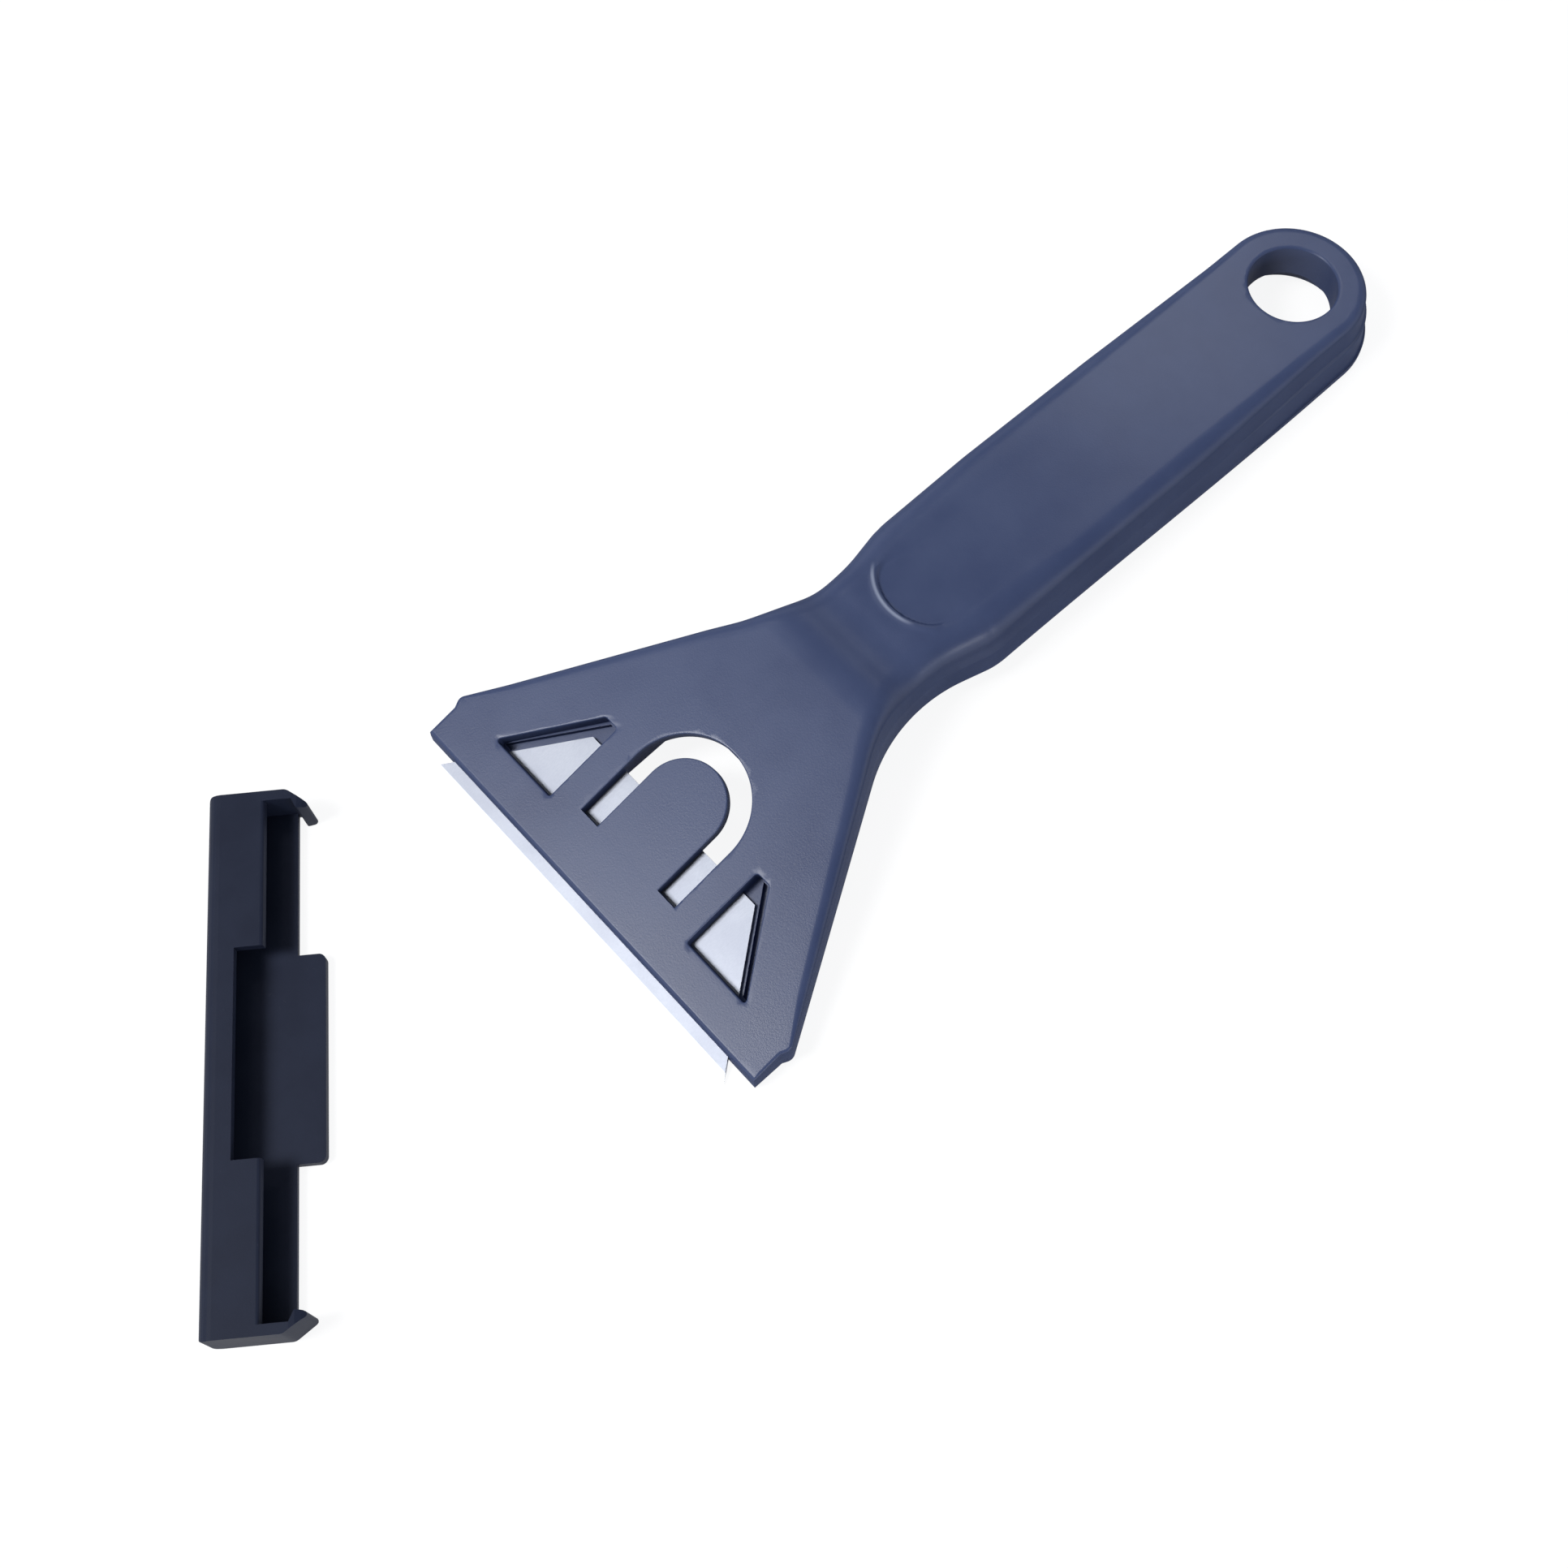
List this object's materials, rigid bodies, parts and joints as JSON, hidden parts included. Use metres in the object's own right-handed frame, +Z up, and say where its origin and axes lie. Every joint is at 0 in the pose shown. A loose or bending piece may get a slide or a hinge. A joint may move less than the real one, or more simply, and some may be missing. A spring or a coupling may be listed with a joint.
{
  "type": "razor blade scraper",
  "caption": "Hand scraper with a moulded plastic handle and triangular head, a clamped trapezoid blade behind a spring tongue, and a clip-on blade cover lying beside it.",
  "frame": {"origin": "on the axis of the hanging hole, in the plane that the scraper rests on", "axes": "+X from the handle to the blade, +Y to the left, +Z up out of the top face"},
  "size_m": [0.2191, 0.0783, 0.0146],
  "materials": {
    "holder_plastic": "satin slate-blue moulded plastic",
    "blade_steel": "ground blade steel",
    "cover_plastic": "satin near-black moulded plastic"
  },
  "bodies": {
    "holder": {"holder": "holder_plastic"},
    "tongue": {"tongue": "holder_plastic"},
    "blade": {"blade": "blade_steel"},
    "cover": {"cover": "cover_plastic"}
  },
  "joints": [
    {"name": "tongue_flex", "type": "hinge", "parent": "holder", "child": "tongue", "pos_m": [0.12763, 0, 0.00422], "axis": [0, 1, 0], "range_deg": [0, 8], "stiffness_Nm_per_rad": 0.3},
    {"name": "blade_slide", "type": "slide", "parent": "holder", "child": "blade", "axis": [0.9668, 0, -0.2554], "range_m": [0, 0.02]},
    {"name": "cover_lift", "type": "slide", "parent": "holder", "child": "cover", "axis": [0, 0, 1], "range_m": [0, 0.05]}
  ]
}
